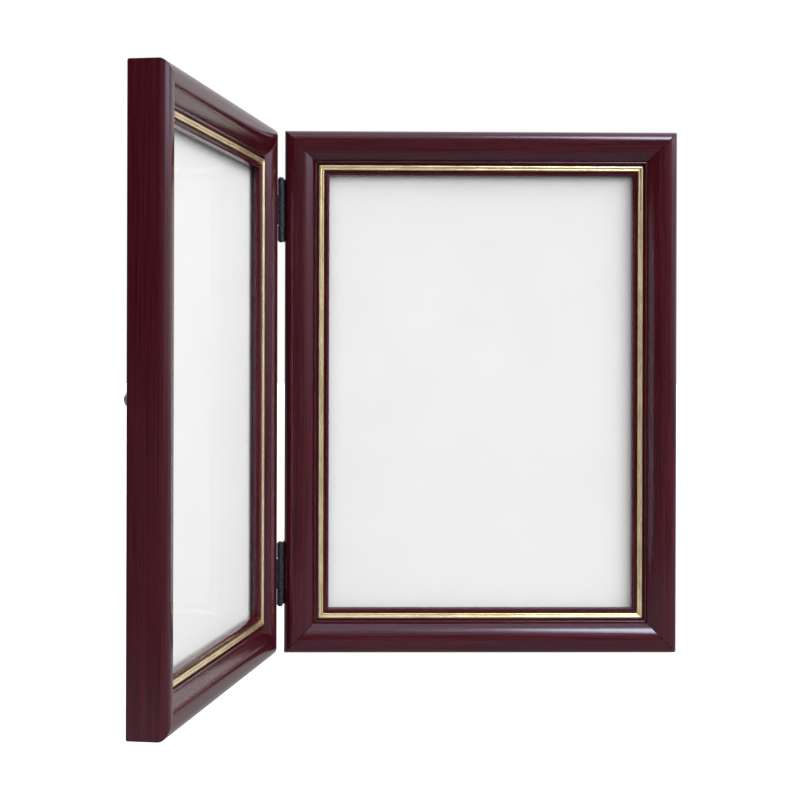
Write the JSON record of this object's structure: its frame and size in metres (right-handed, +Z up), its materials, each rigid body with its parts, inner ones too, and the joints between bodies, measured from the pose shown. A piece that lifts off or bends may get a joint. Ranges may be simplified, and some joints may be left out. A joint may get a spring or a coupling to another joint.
{
  "type": "hinged double picture frame",
  "caption": "Folding picture frame of mahogany-coloured moulding with a gilt inner bead, joined by small butt hinges; it stands open at an angle and folds shut like a book.",
  "frame": {"origin": "middle of the footprint of both leaves at the rest angle, on the table", "axes": "+Z up, -Y is the side that the right leaf's picture faces, +X from the hinge along the right leaf"},
  "size_m": [0.1958, 0.1672, 0.203],
  "materials": {
    "mahogany": "satin lacquer over dark red-brown grain",
    "gilt": "polished gilt",
    "glass": "clear",
    "picture": "blank pale grey print, matt",
    "board": "plain hardboard",
    "black_steel": "black, half gloss",
    "zinc": "zinc plated"
  },
  "bodies": {
    "root": {"hinge_pin_lower": "black_steel", "hinge_pin_upper": "black_steel", "right_backing_board": "board", "right_bottom_rail": "mahogany", "right_button_screw_bottom_rail": "zinc", "right_button_screw_hinge_stile": "zinc", "right_button_screw_outer_stile": "zinc", "right_button_screw_top_rail": "zinc", "right_gilt_bead_bottom_rail": "gilt", "right_gilt_bead_hinge_stile": "gilt", "right_gilt_bead_outer_stile": "gilt", "right_gilt_bead_top_rail": "gilt", "right_glass": "glass", "right_hinge_plate_lower": "black_steel", "right_hinge_plate_upper": "black_steel", "right_hinge_screw_lower_high": "black_steel", "right_hinge_screw_lower_low": "black_steel", "right_hinge_screw_upper_high": "black_steel", "right_hinge_screw_upper_low": "black_steel", "right_hinge_stile": "mahogany", "right_outer_stile": "mahogany", "right_picture": "picture", "right_top_rail": "mahogany"},
    "left_leaf": {"left_backing_board": "board", "left_bottom_rail": "mahogany", "left_button_screw_bottom_rail": "zinc", "left_button_screw_hinge_stile": "zinc", "left_button_screw_outer_stile": "zinc", "left_button_screw_top_rail": "zinc", "left_gilt_bead_bottom_rail": "gilt", "left_gilt_bead_hinge_stile": "gilt", "left_gilt_bead_outer_stile": "gilt", "left_gilt_bead_top_rail": "gilt", "left_glass": "glass", "left_hinge_plate_lower": "black_steel", "left_hinge_plate_upper": "black_steel", "left_hinge_screw_lower_high": "black_steel", "left_hinge_screw_lower_low": "black_steel", "left_hinge_screw_upper_high": "black_steel", "left_hinge_screw_upper_low": "black_steel", "left_hinge_stile": "mahogany", "left_outer_stile": "mahogany", "left_picture": "picture", "left_top_rail": "mahogany"},
    "left_turn_button_bottom_rail_body": {"left_turn_button_bottom_rail": "zinc"},
    "left_turn_button_hinge_stile_body": {"left_turn_button_hinge_stile": "zinc"},
    "left_turn_button_outer_stile_body": {"left_turn_button_outer_stile": "zinc"},
    "left_turn_button_top_rail_body": {"left_turn_button_top_rail": "zinc"},
    "right_turn_button_bottom_rail_body": {"right_turn_button_bottom_rail": "zinc"},
    "right_turn_button_hinge_stile_body": {"right_turn_button_hinge_stile": "zinc"},
    "right_turn_button_outer_stile_body": {"right_turn_button_outer_stile": "zinc"},
    "right_turn_button_top_rail_body": {"right_turn_button_top_rail": "zinc"}
  },
  "joints": [
    {"name": "leaf_hinge", "type": "hinge", "parent": "root", "child": "left_leaf", "pos_m": [-0.05657, 0.06794, 0.1015], "axis": [0, 0, 1], "range_deg": [-80, 100]},
    {"name": "left_turn_button_bottom_rail_turn", "type": "hinge", "parent": "left_leaf", "child": "left_turn_button_bottom_rail_body", "pos_m": [-0.08339, -0.00646, 0.006], "axis": [-0.9848, 0.1736, 0], "range_deg": [-90, 90]},
    {"name": "left_turn_button_hinge_stile_turn", "type": "hinge", "parent": "left_leaf", "child": "left_turn_button_hinge_stile_body", "pos_m": [-0.07115, 0.06296, 0.1015], "axis": [-0.9848, 0.1736, 0], "range_deg": [-90, 90]},
    {"name": "left_turn_button_outer_stile_turn", "type": "hinge", "parent": "left_leaf", "child": "left_turn_button_outer_stile_body", "pos_m": [-0.09564, -0.07589, 0.1015], "axis": [-0.9848, 0.1736, 0], "range_deg": [-90, 90]},
    {"name": "left_turn_button_top_rail_turn", "type": "hinge", "parent": "left_leaf", "child": "left_turn_button_top_rail_body", "pos_m": [-0.08339, -0.00646, 0.197], "axis": [-0.9848, 0.1736, 0], "range_deg": [-90, 90]},
    {"name": "right_turn_button_bottom_rail_turn", "type": "hinge", "parent": "root", "child": "right_turn_button_bottom_rail_body", "pos_m": [0.02136, 0.08144, 0.006], "axis": [0, 1, 0], "range_deg": [-90, 90]},
    {"name": "right_turn_button_hinge_stile_turn", "type": "hinge", "parent": "root", "child": "right_turn_button_hinge_stile_body", "pos_m": [-0.04914, 0.08144, 0.1015], "axis": [0, 1, 0], "range_deg": [-90, 90]},
    {"name": "right_turn_button_outer_stile_turn", "type": "hinge", "parent": "root", "child": "right_turn_button_outer_stile_body", "pos_m": [0.09186, 0.08144, 0.1015], "axis": [0, 1, 0], "range_deg": [-90, 90]},
    {"name": "right_turn_button_top_rail_turn", "type": "hinge", "parent": "root", "child": "right_turn_button_top_rail_body", "pos_m": [0.02136, 0.08144, 0.197], "axis": [0, 1, 0], "range_deg": [-90, 90]}
  ]
}
